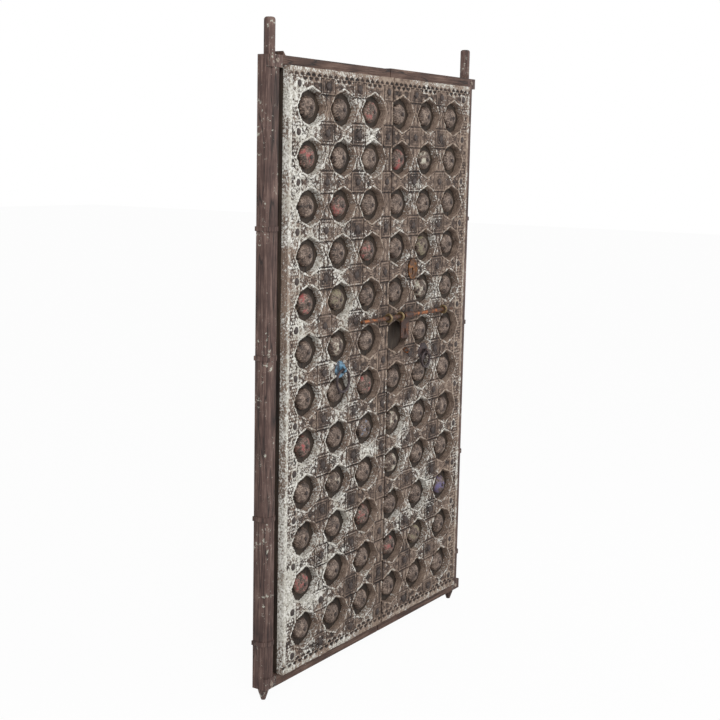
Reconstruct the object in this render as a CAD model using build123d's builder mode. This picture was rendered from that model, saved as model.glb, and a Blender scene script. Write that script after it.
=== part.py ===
from build123d import *
import os

# Carved two-leaf temple door: pivot-hung leaves with a nailed lattice of carved bars,
# turned bosses in the pockets, a sliding bolt with its hasp, two ring pulls and a keyhole plate.
# Millimetres. X runs along the door from the left pivot, the front faces -Y, Z is up.
# The origin is on the left leaf's pivot axis, level with the underside of the leaf.

os.makedirs("parts", exist_ok=True)

# Boss grid
column_pitch = 177.0
row_pitch = 150.0
rows = 12
leaf_columns = 3
side_border = 116.0
end_border = 117.0
meeting_gap = 5.0
missing_boss = (0, 6)

# Leaf frame
pivot_inset = 40.0
post_width = 56.0
post_front = 28.0
post_round = 24.0
tongue_width = 22.0
head_front = 30.0
head_height = 36.0
rail_height = 60.0
rail_back = 22.0
foot_show = 34.0
top_show = 28.0
right_rise = 3.0
horn_width = 12.0
horn_height = 12.0
tenon_height = 48.0
tenon_thickness = 12.0
tenon_length = 64.0
peg_radius = 7.0
peg_proud = 2.0
peg_drop = 16.0
collar_heights = (141.0, 541.0, 1041.0, 1431.0)
collar_height = 14.0
collar_proud = 3.0

# Pivots turned on the ends of the posts
top_pivot_radius = 17.0
top_pivot_length = 108.0
top_pivot_round = 8.0
foot_pivot_radius = 17.0
foot_pivot_length = 12.0
foot_tip_radius = 7.0
foot_tip_length = 30.0

# Boards and lattice bars
board_thickness = 22.0
board_gap = 1.5
bar_thickness = 24.0
upright_width = 78.0
cross_height = 73.0
upright_neck = 30.0
cross_neck = 36.0
border_nail = 68.0
stub = 14.0
relief = 2.5

# Raised frames, leaves and the saw-tooth strip cut along the outer edges
frame_margin = 4.0
frame_line = 5.0
nail_room = 24.0
leaf_start = 5.0
leaf_length = 22.0
leaf_width = 10.0
strip_margin = 5.0
strip_width = 16.0
strip_pitch = 30.0
strip_depth = 4.0

# Bosses and nails
boss_radius = 35.0
boss_foot = 3.0
boss_height = 25.0
boss_flat = 8.0
nail_radius = 11.0
nail_head = 5.0
nail_shank = 5.0
nail_length = 12.0
nail_crown = 0.3
nail_brim = 0.2
boss_nail_radius = 7.0
boss_nail_head = 4.0
boss_nail_shank = 4.0
boss_nail_length = 12.0

# Sliding bolt, hasp and staple
rod_radius = 7.0
rod_length = 604.0
rod_start = 432.0
rod_stand_off = 18.0
rod_drop = 6.0
rod_chamfer = 1.5
ring_clearance = 0.8
ring_wire = 4.2
eye_shank_radius = 4.0
eye_shank_depth = 20.0
second_ring_offset = 11.0
third_ring_offset = 22.0
hasp_clearance = 0.3
hasp_thickness = 4.0
hasp_width = 52.0
hasp_length = 80.0
hasp_centre_offset = 34.0
hasp_corner = 10.0
hasp_slot_width = 9.0
hasp_slot_length = 24.0
hasp_slot_rise = 22.0
staple_major = 8.0
staple_wire = 2.5
staple_stand_off = 11.0
staple_offset = 45.0
staple_rise = 20.0

# Keyhole plate
key_width = 56.0
key_height = 72.0
key_thickness = 3.0
key_rim = 5.0
key_rim_height = 1.5
key_hole_radius = 5.5
key_slot_width = 6.0
key_slot_length = 20.0

# Ring pulls
pull_sides = 8
left_plate_radius = 30.0
right_plate_radius = 34.0
plate_thickness = 5.0
plate_taper = 35.0
pull_eye_major = 9.0
pull_eye_wire = 3.5
pull_stand_off = 14.0
pull_wire = 4.2
left_ring_radius = 36.0
right_ring_radius = 27.0

# Places along X
lattice_left = pivot_inset
first_column = lattice_left + side_border
left_end = first_column + (leaf_columns - 1) * column_pitch + side_border
right_start = left_end + meeting_gap
left_columns = [first_column + i * column_pitch for i in range(leaf_columns)]
right_columns = [left_columns[-1] + (i + 1) * column_pitch for i in range(leaf_columns)]
right_end = right_columns[-1] + side_border
right_pivot = right_end + pivot_inset

# Places up Z
lattice_bottom = foot_show
first_row = lattice_bottom + end_border
row_heights = [first_row + i * row_pitch for i in range(rows)]
lattice_top = row_heights[-1] + end_border
leaf_height = lattice_top + top_show
crossing_heights = [first_row - border_nail]
crossing_heights += [z + row_pitch / 2 for z in row_heights[:-1]]
crossing_heights += [row_heights[-1] + border_nail]

# Depths, counted forward from the pivot axis
rail_front = 0.0
board_front = rail_front + board_thickness
lattice_front = board_front + bar_thickness
halving = board_front + bar_thickness / 2

# Pocket corners, measured from the middle of a boss
pocket_half_width = (column_pitch - upright_width) / 2
pocket_half_height = (row_pitch - cross_height) / 2
pocket_tip_x = (column_pitch - upright_neck) / 2
pocket_tip_z = (row_pitch - cross_neck) / 2

# Hardware places
bolt_row = 7
lower_bolt_row = bolt_row - 1
bolt_z = crossing_heights[bolt_row] - rod_drop
rod_y = lattice_front + rod_stand_off
ring_major = rod_radius + ring_clearance + ring_wire
ring_places = [
    left_columns[-1] + column_pitch / 2,
    right_columns[0] - second_ring_offset,
    right_columns[1] + column_pitch / 2 + third_ring_offset,
]
hasp_x = right_columns[0] + hasp_centre_offset
staple_x = right_columns[0] + staple_offset
staple_z = crossing_heights[lower_bolt_row] + staple_rise
key_spot = (right_columns[0] + column_pitch / 2, crossing_heights[bolt_row + 1])
pull_z = crossing_heights[lower_bolt_row]
pull_y = lattice_front + pull_stand_off
left_pull_x = left_columns[1]
right_pull_x = right_columns[1]

left_nail_lines = [first_column - border_nail]
left_nail_lines += [x + column_pitch / 2 for x in left_columns]
right_nail_lines = [x + column_pitch / 2 for x in right_columns[:-1]]
right_nail_lines += [right_columns[-1] + border_nail]
keeper_spot = (left_nail_lines[-1], crossing_heights[bolt_row])
bare_spots = [keeper_spot, key_spot]

shank_spots = [(x, bolt_z) for x in ring_places]
shank_spots += [(staple_x, staple_z), (left_pull_x, pull_z), (right_pull_x, pull_z)]


left_nails = [(x, z) for x in left_nail_lines for z in crossing_heights]
right_nails = [(x, z) for x in right_nail_lines for z in crossing_heights]
nail_spots = [spot for spot in left_nails + right_nails if spot not in bare_spots]

with BuildSketch() as leaf:
    with BuildLine():
        Polyline(
            (leaf_start, 0),
            (leaf_start + leaf_length / 2, leaf_width / 2),
            (leaf_start + leaf_length, 0),
            (leaf_start + leaf_length / 2, -leaf_width / 2),
            close=True,
        )
    make_face()

with BuildSketch() as keyhole:
    Circle(key_hole_radius)
    with Locations((0, -key_slot_length / 2)):
        Rectangle(key_slot_width, key_slot_length)


def front_plane(depth):
    """The upright plane that lies this far in front of the pivot axis and looks forward."""
    return Plane.XZ.offset(depth)


def save(piece, name):
    piece.part.label = name
    export_step(piece.part, f"parts/{name}.step")


def upright_outline(low_x, high_x, notch_left, notch_right):
    """Outline of a full-height bar, notched at every row beside the pockets."""
    depth = pocket_tip_x - pocket_half_width
    points = [(high_x, lattice_bottom)]
    for z in row_heights if notch_right else []:
        points += [(high_x, z - pocket_half_height), (high_x - depth, z)]
        points += [(high_x, z + pocket_half_height)]
    points += [(high_x, lattice_top), (low_x, lattice_top)]
    for z in reversed(row_heights) if notch_left else []:
        points += [(low_x, z + pocket_half_height), (low_x + depth, z)]
        points += [(low_x, z - pocket_half_height)]
    return points + [(low_x, lattice_bottom)]


def cross_outline(low_x, high_x, low_z, high_z, columns, notch_low, notch_high):
    """Outline of a cross bar, notched above and below the pockets."""
    depth = pocket_tip_z - pocket_half_height
    points = [(low_x, low_z)]
    for x in columns if notch_low else []:
        points += [(x - pocket_half_width, low_z), (x, low_z + depth)]
        points += [(x + pocket_half_width, low_z)]
    points += [(high_x, low_z), (high_x, high_z)]
    for x in reversed(columns) if notch_high else []:
        points += [(x + pocket_half_width, high_z), (x, high_z - depth)]
        points += [(x - pocket_half_width, high_z)]
    return points + [(low_x, high_z)]


def cross_span(index):
    """Bottom and top of the cross bar at this crossing."""
    if index == 0:
        return lattice_bottom, first_row - pocket_half_height
    if index == rows:
        return row_heights[-1] + pocket_half_height, lattice_top
    middle = crossing_heights[index]
    return middle - cross_height / 2, middle + cross_height / 2


def block_size(spot_x, spot_z, borders):
    """Width and height of the carved block round a nail."""
    narrow = 2 * (border_nail - pocket_half_width)
    short = 2 * (border_nail - pocket_half_height)
    width = narrow if spot_x in borders else upright_width
    height = short if spot_z in (crossing_heights[0], crossing_heights[-1]) else cross_height
    return width, height


def upright(name, low_x, high_x, nail_x, low_stub, high_stub, notch_left, notch_right, strip_x):
    """A full-height lattice bar, halved at the back over the cross bars."""
    borders = (left_nail_lines[0], right_nail_lines[-1])
    with BuildPart() as bar:
        with BuildSketch(front_plane(board_front)):
            with BuildLine():
                Polyline(*upright_outline(low_x, high_x, notch_left, notch_right), close=True)
            make_face()
        extrude(amount=bar_thickness)
        with BuildSketch(front_plane(board_front)):
            for index in range(rows + 1):
                low_z, high_z = cross_span(index)
                width = high_x - low_x - low_stub - high_stub
                with Locations((low_x + low_stub + width / 2, (low_z + high_z) / 2)):
                    Rectangle(width, high_z - low_z)
        extrude(amount=halving - board_front, mode=Mode.SUBTRACT)
        with BuildSketch(front_plane(lattice_front)):
            for z in crossing_heights:
                if (nail_x, z) in bare_spots:
                    continue
                width, height = block_size(nail_x, z, borders)
                width = min(width, 2 * (high_x - nail_x), 2 * (nail_x - low_x))
                with Locations((nail_x, z)):
                    Rectangle(width - 2 * frame_margin, height - 2 * frame_margin)
                    line = 2 * frame_margin + 2 * frame_line
                    inner_width = max(width - line, nail_room)
                    Rectangle(inner_width, height - line, mode=Mode.SUBTRACT)
            if notch_left and notch_right:
                for z in row_heights:
                    with Locations((nail_x, z)):
                        with PolarLocations(leaf_start, 2, 90):
                            add(leaf.sketch)
        extrude(amount=relief)
        if strip_x is not None:
            with BuildSketch(front_plane(lattice_front)):
                count = int((lattice_top - lattice_bottom) / strip_pitch)
                middle = (lattice_top + lattice_bottom) / 2
                with Locations((strip_x, middle)):
                    with GridLocations(0, strip_pitch, 1, count):
                        RegularPolygon(strip_width / 2, 3)
            extrude(amount=-strip_depth, mode=Mode.SUBTRACT)
        cut_nail_holes(nail_x)
        cut_holes(low_x, high_x, lattice_bottom, lattice_top)
    save(bar, name)


def cut_nail_holes(nail_x):
    """Square holes for the nails on one line of the lattice."""
    with BuildSketch(front_plane(lattice_front)) as squares:
        with Locations(*[spot for spot in nail_spots if spot[0] == nail_x]):
            Rectangle(nail_shank, nail_shank)
    extrude(squares.sketch, amount=-nail_length, mode=Mode.SUBTRACT)


def cut_holes(low_x, high_x, low_z, high_z):
    """Round shank holes and the keyhole, where they fall inside these limits."""
    shanks = [spot for spot in shank_spots if low_x < spot[0] < high_x and low_z < spot[1] < high_z]
    if shanks:
        with BuildSketch(front_plane(lattice_front)) as rounds:
            with Locations(*shanks):
                Circle(eye_shank_radius)
        extrude(rounds.sketch, amount=-eye_shank_depth, mode=Mode.SUBTRACT)
    if low_x < key_spot[0] < high_x and low_z < key_spot[1] < high_z:
        with BuildSketch(front_plane(lattice_front)) as slot:
            with Locations(key_spot):
                add(keyhole.sketch)
        extrude(slot.sketch, amount=rail_front - lattice_front, mode=Mode.SUBTRACT)


def cross_bar(name, index, low_x, high_x, columns, upright_spans):
    """A cross bar, halved at the front under the full-height bars."""
    low_z, high_z = cross_span(index)
    with BuildPart() as bar:
        with BuildSketch(front_plane(board_front)):
            with BuildLine():
                points = cross_outline(
                    low_x, high_x, low_z, high_z, columns, index > 0, index < rows
                )
                Polyline(*points, close=True)
            make_face()
        extrude(amount=bar_thickness)
        with BuildSketch(front_plane(halving)):
            for span_low, span_high in upright_spans:
                with Locations(((span_low + span_high) / 2, (low_z + high_z) / 2)):
                    Rectangle(span_high - span_low, high_z - low_z)
        extrude(amount=bar_thickness / 2, mode=Mode.SUBTRACT)
        z = crossing_heights[index]
        plain = [spot for spot in shank_spots if low_z < spot[1] < high_z]
        with BuildSketch(front_plane(lattice_front)):
            for x in columns:
                if any(abs(spot[0] - x) < pocket_half_width for spot in plain):
                    continue
                with Locations((x, z)):
                    with PolarLocations(leaf_start, 4, 45):
                        add(leaf.sketch)
                    Circle(leaf_start)
        extrude(amount=relief)
        cut_holes(low_x, high_x, low_z, high_z)
    save(bar, name)


def board(name, low_x, high_x):
    """One backing board behind the lattice."""
    with BuildPart() as plank:
        with BuildSketch(front_plane(rail_front)):
            with Locations(((low_x + high_x) / 2, (lattice_bottom + lattice_top) / 2)):
                Rectangle(high_x - low_x, lattice_top - lattice_bottom)
        extrude(amount=board_thickness)
        cut_holes(low_x, high_x, lattice_bottom, lattice_top)
    save(plank, name)


def hinge_stile(name, pivot_x, inward, rise):
    """A post rounded at the front, with square heads, collars and pivots, and a tongue behind the boards."""
    top = leaf_height + rise
    edge = pivot_x + inward * post_width / 2
    shoulder = edge + inward * tongue_width
    middle_y = (rail_back - post_front) / 2
    with BuildPart() as post:
        with BuildSketch() as section:
            with Locations((pivot_x, middle_y)):
                Rectangle(post_width, post_front + rail_back)
            fillet(section.vertices().sort_by(Axis.Y)[:2], post_round)
            with Locations(((edge + shoulder) / 2, rail_back / 2)):
                Rectangle(tongue_width, rail_back)
        extrude(amount=top)
        for z in (0, top - head_height):
            with BuildSketch(Plane.XY.offset(z)):
                with Locations((pivot_x, (rail_back - head_front) / 2)):
                    Rectangle(post_width, head_front + rail_back)
            extrude(amount=head_height)
        for z in collar_heights:
            with BuildSketch(Plane.XY.offset(z)) as collar:
                with Locations((pivot_x - inward * collar_proud / 2, middle_y)):
                    Rectangle(post_width + collar_proud, post_front + rail_back + 2 * collar_proud)
                fillet(collar.vertices().sort_by(Axis.Y)[:2], post_round)
            extrude(amount=collar_height)
        with BuildSketch(Plane.XY.offset(top)):
            with Locations((pivot_x, 0)):
                Circle(top_pivot_radius)
        extrude(amount=top_pivot_length - rise)
        fillet(post.faces().sort_by(Axis.Z)[-1].edges(), top_pivot_round)
        with BuildSketch(Plane.XY):
            with Locations((pivot_x, 0)):
                Circle(foot_pivot_radius)
        extrude(amount=-foot_pivot_length)
        with BuildSketch(Plane.XY.offset(-foot_pivot_length)):
            with Locations((pivot_x, 0)):
                Circle(foot_pivot_radius)
        with BuildSketch(Plane.XY.offset(-foot_pivot_length - foot_tip_length)):
            with Locations((pivot_x, 0)):
                Circle(foot_tip_radius)
        loft()
        with BuildSketch(Plane.YZ.offset(shoulder - inward * tenon_length)):
            with Locations(*[(rail_back / 2, z) for z in tenon_middles(rise)]):
                Rectangle(tenon_thickness, tenon_height)
        extrude(amount=inward * tenon_length, mode=Mode.SUBTRACT)
        with BuildSketch(front_plane(-rail_back)):
            with Locations(*[(pivot_x, z) for z in peg_heights(rise)]):
                Circle(peg_radius)
        extrude(amount=rail_back + head_front, mode=Mode.SUBTRACT)
    save(post, name)


def tenon_middles(rise):
    """Heights of the middles of the three tenons on one leaf."""
    return [rail_height / 2, leaf_height / 2, leaf_height + rise - rail_height / 2]


def peg_heights(rise):
    """Heights of the pegs through the top and bottom tenons."""
    return [peg_drop, leaf_height + rise - peg_drop]


def rail(name, pivot_x, inward, free_end, middle_z, lip, horn, peg_z):
    """A rail behind the boards, tenoned into the post, with a lip in front where the lattice ends."""
    edge = pivot_x + inward * post_width / 2
    shoulder = edge + inward * tongue_width
    with BuildPart() as bar:
        with BuildSketch(front_plane(-rail_back)):
            with Locations(((shoulder + free_end) / 2, middle_z)):
                Rectangle(abs(free_end - shoulder), rail_height)
        extrude(amount=rail_back)
        if lip:
            low, high = lip
            with BuildSketch(front_plane(rail_front)):
                with Locations(((edge + free_end) / 2, (low + high) / 2)):
                    Rectangle(abs(free_end - edge), high - low)
                if horn:
                    with BuildLine():
                        Polyline(
                            (edge, high),
                            (edge + inward * horn_width, high),
                            (edge, high + horn_height),
                            close=True,
                        )
                    make_face()
            extrude(amount=head_front)
        with BuildSketch(front_plane(-(rail_back + tenon_thickness) / 2)):
            with Locations((shoulder - inward * tenon_length / 2, middle_z)):
                Rectangle(tenon_length, tenon_height)
        extrude(amount=tenon_thickness)
        if peg_z:
            with BuildSketch(front_plane(-rail_back)):
                with Locations((pivot_x, peg_z)):
                    Circle(peg_radius)
            extrude(amount=rail_back, mode=Mode.SUBTRACT)
    save(bar, name)


def group(name, piece, spots, depth):
    """Copies of one small piece set on a plane of the door, as separate solids."""
    copies = Compound([Pos(x, -depth, z) * piece.part for x, z in spots])
    copies.label = name
    export_step(copies, f"parts/{name}.step")


def eye(major, wire, stand_off, spots):
    """Eye bolts whose ring faces along X, with a round shank into the door."""
    with BuildPart() as bolts:
        for x, z in spots:
            with Locations(Location((x, -lattice_front - stand_off, z), (0, 90, 0))):
                Torus(major, wire)
            with BuildSketch(front_plane(lattice_front - eye_shank_depth)):
                with Locations((x, z)):
                    Circle(eye_shank_radius)
            extrude(amount=eye_shank_depth + stand_off - major)
    return bolts


def pull_plate(name, x, radius):
    """An eight-sided domed plate with the eye that its ring hangs from."""
    with BuildPart() as plate:
        with BuildSketch(front_plane(lattice_front)):
            with Locations((x, pull_z)):
                RegularPolygon(radius, pull_sides, rotation=180 / pull_sides)
        extrude(amount=plate_thickness, taper=plate_taper)
        with Locations(Location((x, -pull_y, pull_z), (0, 90, 0))):
            Torus(pull_eye_major, pull_eye_wire)
        with BuildSketch(front_plane(lattice_front - eye_shank_depth)):
            with Locations((x, pull_z)):
                Circle(eye_shank_radius)
        extrude(amount=eye_shank_depth + pull_stand_off - pull_eye_major)
    save(plate, name)


def pull_ring(name, x, radius):
    """A round ring hanging from the eye of its plate."""
    with BuildPart() as ring:
        with Locations(Location((x, -pull_y, pull_z - radius), (90, 0, 0))):
            Torus(radius, pull_wire)
    save(ring, name)


hinge_stile("left_hinge_stile", 0, 1, 0)
hinge_stile("right_hinge_stile", right_pivot, -1, right_rise)

leaf_frames = [("left", 0, 1, left_end, 0), ("right", right_pivot, -1, right_start, right_rise)]
for side, pivot_x, inward, free_end, rise in leaf_frames:
    low_z, middle_z, high_z = tenon_middles(rise)
    low_peg, high_peg = peg_heights(rise)
    high_lip = (lattice_top, leaf_height + rise)
    rail(f"{side}_bottom_rail", pivot_x, inward, free_end, low_z, (0, lattice_bottom), False, low_peg)
    rail(f"{side}_back_ledge", pivot_x, inward, free_end, middle_z, None, False, None)
    rail(f"{side}_top_rail", pivot_x, inward, free_end, high_z, high_lip, True, high_peg)

leaf_widths = [("left", lattice_left, left_end), ("right", right_start, right_end)]
for side, low_x, high_x in leaf_widths:
    middle_x = (low_x + high_x) / 2
    board(f"{side}_board_1", low_x, middle_x - board_gap / 2)
    board(f"{side}_board_2", middle_x + board_gap / 2, high_x)

half_upright = upright_width / 2
border_width = side_border - pocket_half_width
left_spans = [(lattice_left, lattice_left + border_width)]
left_spans += [(x - half_upright, x + half_upright) for x in left_nail_lines[1:-1]]
left_spans += [(left_nail_lines[-1] - half_upright, left_end)]
right_spans = [(x - half_upright, x + half_upright) for x in right_nail_lines[:-1]]
right_spans += [(right_end - border_width, right_end)]
strip_offset = strip_margin + strip_width / 2

for number, (low_x, high_x) in enumerate(left_spans):
    first, last = number == 0, number == len(left_spans) - 1
    upright(
        f"left_upright_{number + 1}",
        low_x,
        high_x,
        left_nail_lines[number],
        stub if first else 0,
        stub if last else 0,
        not first,
        not last,
        low_x + strip_offset if first else None,
    )
for number, (low_x, high_x) in enumerate(right_spans):
    last = number == len(right_spans) - 1
    upright(
        f"right_upright_{number + 1}",
        low_x,
        high_x,
        right_nail_lines[number],
        0,
        stub if last else 0,
        True,
        not last,
        high_x - strip_offset if last else None,
    )

for index in range(rows + 1):
    number = index + 1
    cross_bar(
        f"left_cross_bar_{number}",
        index,
        lattice_left + stub,
        left_end - stub,
        left_columns,
        left_spans,
    )
    cross_bar(
        f"right_cross_bar_{number}",
        index,
        right_start,
        right_end - stub,
        right_columns,
        right_spans,
    )

with BuildPart() as boss:
    with BuildSketch(Plane.XY):
        with BuildLine():
            foot = (boss_radius, -boss_foot)
            rim = (boss_flat, -boss_height)
            Polyline(rim, (0, -boss_height), (0, 0), (boss_radius, 0), foot)
            RadiusArc(foot, rim, boss_radius)
        make_face()
    revolve(axis=Axis.Y)
    with BuildSketch(Plane.XZ.offset(boss_height - boss_nail_length)) as boss_hole:
        Rectangle(boss_nail_shank, boss_nail_shank)
    extrude(boss_hole.sketch, amount=boss_nail_length, mode=Mode.SUBTRACT)


def nail(radius, head, shank, length):
    """A hand-made nail: domed head in front of its seat, square shank behind."""
    with BuildPart() as piece:
        with BuildSketch(Plane.XY):
            with BuildLine():
                crown, brim = (radius * nail_crown, -head), (radius, -head * nail_brim)
                Polyline(crown, (0, -head), (0, 0), (radius, 0), brim)
                RadiusArc(brim, crown, radius)
            make_face()
        revolve(axis=Axis.Y)
        with BuildSketch(Plane.XZ.offset(-length)):
            Rectangle(shank, shank)
        extrude(amount=length)
    return piece


lattice_nail = nail(nail_radius, nail_head, nail_shank, nail_length)
boss_nail = nail(boss_nail_radius, boss_nail_head, boss_nail_shank, boss_nail_length)

left_bosses = [(x, z) for x in left_columns for z in row_heights]
missing = (right_columns[missing_boss[0]], row_heights[missing_boss[1]])
right_bosses = [(x, z) for x in right_columns for z in row_heights if (x, z) != missing]
group("left_bosses", boss, left_bosses, board_front)
group("right_bosses", boss, right_bosses, board_front)
group("boss_nails", boss_nail, left_bosses + right_bosses, board_front + boss_height)
for side, nails in (("left", left_nails), ("right", right_nails)):
    spots = [spot for spot in nails if spot in nail_spots]
    group(f"{side}_lattice_nails", lattice_nail, spots, lattice_front)

with BuildPart() as peg:
    with BuildSketch(front_plane(-rail_back)):
        Circle(peg_radius)
    extrude(amount=rail_back + head_front + peg_proud)
peg_spots = [(0, z) for z in peg_heights(0)]
peg_spots += [(right_pivot, z) for z in peg_heights(right_rise)]
group("tenon_pegs", peg, peg_spots, 0)

with BuildPart() as bolt_rod:
    with BuildSketch(Plane.YZ.offset(rod_start)):
        with Locations((-rod_y, bolt_z)):
            Circle(rod_radius)
    extrude(amount=rod_length)
    chamfer(bolt_rod.edges().filter_by(GeomType.CIRCLE), rod_chamfer)
save(bolt_rod, "bolt_rod")

save(eye(ring_major, ring_wire, rod_stand_off, [(x, bolt_z) for x in ring_places]), "bolt_rings")
save(eye(staple_major, staple_wire, staple_stand_off, [(staple_x, staple_z)]), "hasp_staple")

with BuildPart() as hasp:
    hole = rod_radius + hasp_clearance
    knuckle = hole + hasp_thickness
    with BuildSketch(Plane.YZ.offset(hasp_x - hasp_width / 2)):
        with Locations((-rod_y, bolt_z)):
            Circle(knuckle)
    extrude(amount=hasp_width)
    strap_front = rod_y - knuckle
    with BuildSketch(front_plane(strap_front)) as strap:
        with Locations((hasp_x, bolt_z - hasp_length / 2)):
            Rectangle(hasp_width, hasp_length)
        low_corners = strap.vertices().sort_by(Axis.Z)[:2]
        fillet(low_corners, hasp_corner)
        with Locations((hasp_x, bolt_z - hasp_length + hasp_slot_rise)):
            SlotOverall(hasp_slot_length, hasp_slot_width, rotation=90, mode=Mode.SUBTRACT)
    extrude(amount=hasp_thickness)
    with BuildSketch(Plane.YZ.offset(hasp_x - hasp_width / 2)):
        with Locations((-rod_y, bolt_z)):
            Circle(hole)
    extrude(amount=hasp_width, mode=Mode.SUBTRACT)
save(hasp, "hasp")

with BuildPart() as key_plate:
    with BuildSketch(front_plane(lattice_front)):
        with Locations(key_spot):
            Ellipse(key_width / 2, key_height / 2)
            add(keyhole.sketch, mode=Mode.SUBTRACT)
    extrude(amount=key_thickness)
    with BuildSketch(front_plane(lattice_front + key_thickness)):
        with Locations(key_spot):
            Ellipse(key_width / 2, key_height / 2)
            Ellipse(key_width / 2 - key_rim, key_height / 2 - key_rim, mode=Mode.SUBTRACT)
    extrude(amount=key_rim_height)
save(key_plate, "keyhole_plate")

pull_plate("left_pull_plate", left_pull_x, left_plate_radius)
pull_plate("right_pull_plate", right_pull_x, right_plate_radius)
pull_ring("left_pull_ring", left_pull_x, left_ring_radius)
pull_ring("right_pull_ring", right_pull_x, right_ring_radius)
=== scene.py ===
# %% [markdown]
# A carved temple door with two leaves, seen obliquely from its left leaf.
# The CAD frame holds every size and every solid. This lesson dresses it in three finishes:
# old carved wood with flaking pale paint, bare brown timber, and forged iron.

# %% Load the frame
import math
import bpy
import numpy as np
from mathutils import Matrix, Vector


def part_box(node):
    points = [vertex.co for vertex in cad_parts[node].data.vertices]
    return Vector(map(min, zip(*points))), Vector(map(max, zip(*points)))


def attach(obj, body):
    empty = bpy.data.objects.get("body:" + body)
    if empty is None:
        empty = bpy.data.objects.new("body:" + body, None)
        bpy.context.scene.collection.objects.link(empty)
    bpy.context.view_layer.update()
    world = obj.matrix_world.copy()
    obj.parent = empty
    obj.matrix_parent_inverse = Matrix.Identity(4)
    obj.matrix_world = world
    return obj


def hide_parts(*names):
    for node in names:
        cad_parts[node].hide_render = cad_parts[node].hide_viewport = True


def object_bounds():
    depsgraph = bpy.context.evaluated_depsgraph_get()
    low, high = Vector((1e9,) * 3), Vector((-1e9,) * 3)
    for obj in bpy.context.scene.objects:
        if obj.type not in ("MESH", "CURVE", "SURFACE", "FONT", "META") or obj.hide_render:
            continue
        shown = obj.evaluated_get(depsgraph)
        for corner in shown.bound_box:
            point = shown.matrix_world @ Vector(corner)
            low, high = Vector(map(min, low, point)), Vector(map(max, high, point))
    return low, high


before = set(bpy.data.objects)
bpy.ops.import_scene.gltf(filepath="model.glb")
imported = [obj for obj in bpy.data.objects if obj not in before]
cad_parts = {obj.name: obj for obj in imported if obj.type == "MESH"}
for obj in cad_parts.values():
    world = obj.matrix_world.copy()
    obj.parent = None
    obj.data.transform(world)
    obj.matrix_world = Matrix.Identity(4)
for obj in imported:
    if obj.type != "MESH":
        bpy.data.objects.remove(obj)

cad_low, cad_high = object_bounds()

# %% [markdown]
# The carving has to land on the solids, so its sizes are read from the frame's own boxes.
# The grid of bosses, with its pitch and borders, is the one rule that the whole door follows.

# %% Sizes of the lattice
MM = 0.001
board_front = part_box("left_board_1")[0][1]
lattice_low, lattice_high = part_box("left_upright_1")
relief = 2.5 * MM
bar_front = lattice_low[1] + relief
halving = (board_front + bar_front) / 2
rows, column_pitch, row_pitch = 12, 177 * MM, 150 * MM
side_border, border_nail = 116 * MM, 68 * MM
end_border = (lattice_high[2] - lattice_low[2] - (rows - 1) * row_pitch) / 2
columns = [lattice_low[0] + side_border + i * column_pitch for i in range(6)]
row_heights = [lattice_low[2] + end_border + i * row_pitch for i in range(rows)]
crossings = [row_heights[0] - border_nail]
crossings += [z + row_pitch / 2 for z in row_heights[:-1]]
crossings += [row_heights[-1] + border_nail]
print("columns", np.round(columns, 3), "rows from", round(row_heights[0], 3))

# %% [markdown]
# A pocket is the eight-sided hole that a boss sits in. The necks of two uprights and two
# cross bars make its sides, so its size follows from the pitches and the widths of the bars.

# %% Sizes of one pocket
upright_width, cross_height = 78 * MM, 73 * MM
upright_neck, cross_neck = 30 * MM, 36 * MM
pocket_w = (column_pitch - upright_width) / 2
pocket_h = (row_pitch - cross_height) / 2
notch_x = (upright_width - upright_neck) / 2
notch_z = (cross_height - cross_neck) / 2
print("pocket half sizes", round(pocket_w, 4), round(pocket_h, 4))

# %% [markdown]
# Every finish is a small tree of nodes. One helper adds a node with its settings and links,
# and one turns a hex colour to the linear values that the shader works in.

# %% Colour and node helpers
def linear(code):
    values = [int(code[i:i + 2], 16) / 255 for i in (1, 3, 5)]
    return (*[v / 12.92 if v <= 0.04045 else ((v + 0.055) / 1.055) ** 2.4 for v in values], 1.0)


def put(tree, kind, links=None, stops=(), **settings):
    """Adds a node; settings name its own properties, links name or number its inputs.

    A hex colour is made linear, and stops are the places and colours of a colour ramp.
    """
    node = tree.nodes.new(kind)
    for key, value in settings.items():
        setattr(node, key, value)
    for key, value in (links or {}).items():
        if isinstance(value, bpy.types.NodeSocket):
            tree.links.new(value, node.inputs[key])
        else:
            node.inputs[key].default_value = linear(value) if isinstance(value, str) else value
    if stops:
        elements = node.color_ramp.elements
        while len(elements) < len(stops):
            elements.new(0.5)
        for element, (place, code) in zip(elements, stops):
            element.position, element.color = place, linear(code)
    return node


# %% [markdown]
# Grain, flakes and pits are all noise on the object's own coordinates, with its scale worked
# out from real millimetres. Wood grain is the same noise stretched along the bar by a Mapping
# node. Every finish is made by the same function, which joins its colour and bump to a shader.

# %% Make a finish
def finish_with(name, build):
    """A new material whose colour and bump the build function makes from nodes."""
    material = bpy.data.materials.new(name)
    material.use_nodes = True
    tree = material.node_tree
    shader = tree.nodes["Principled BSDF"]
    colour, height, depth = build(tree, shader)
    tree.links.new(colour, shader.inputs["Base Color"])
    bump = put(tree, "ShaderNodeBump", {"Height": height, "Distance": depth * MM, "Strength": 0.85})
    tree.links.new(bump.outputs["Normal"], shader.inputs["Normal"])
    print("material", name)
    return material
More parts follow.
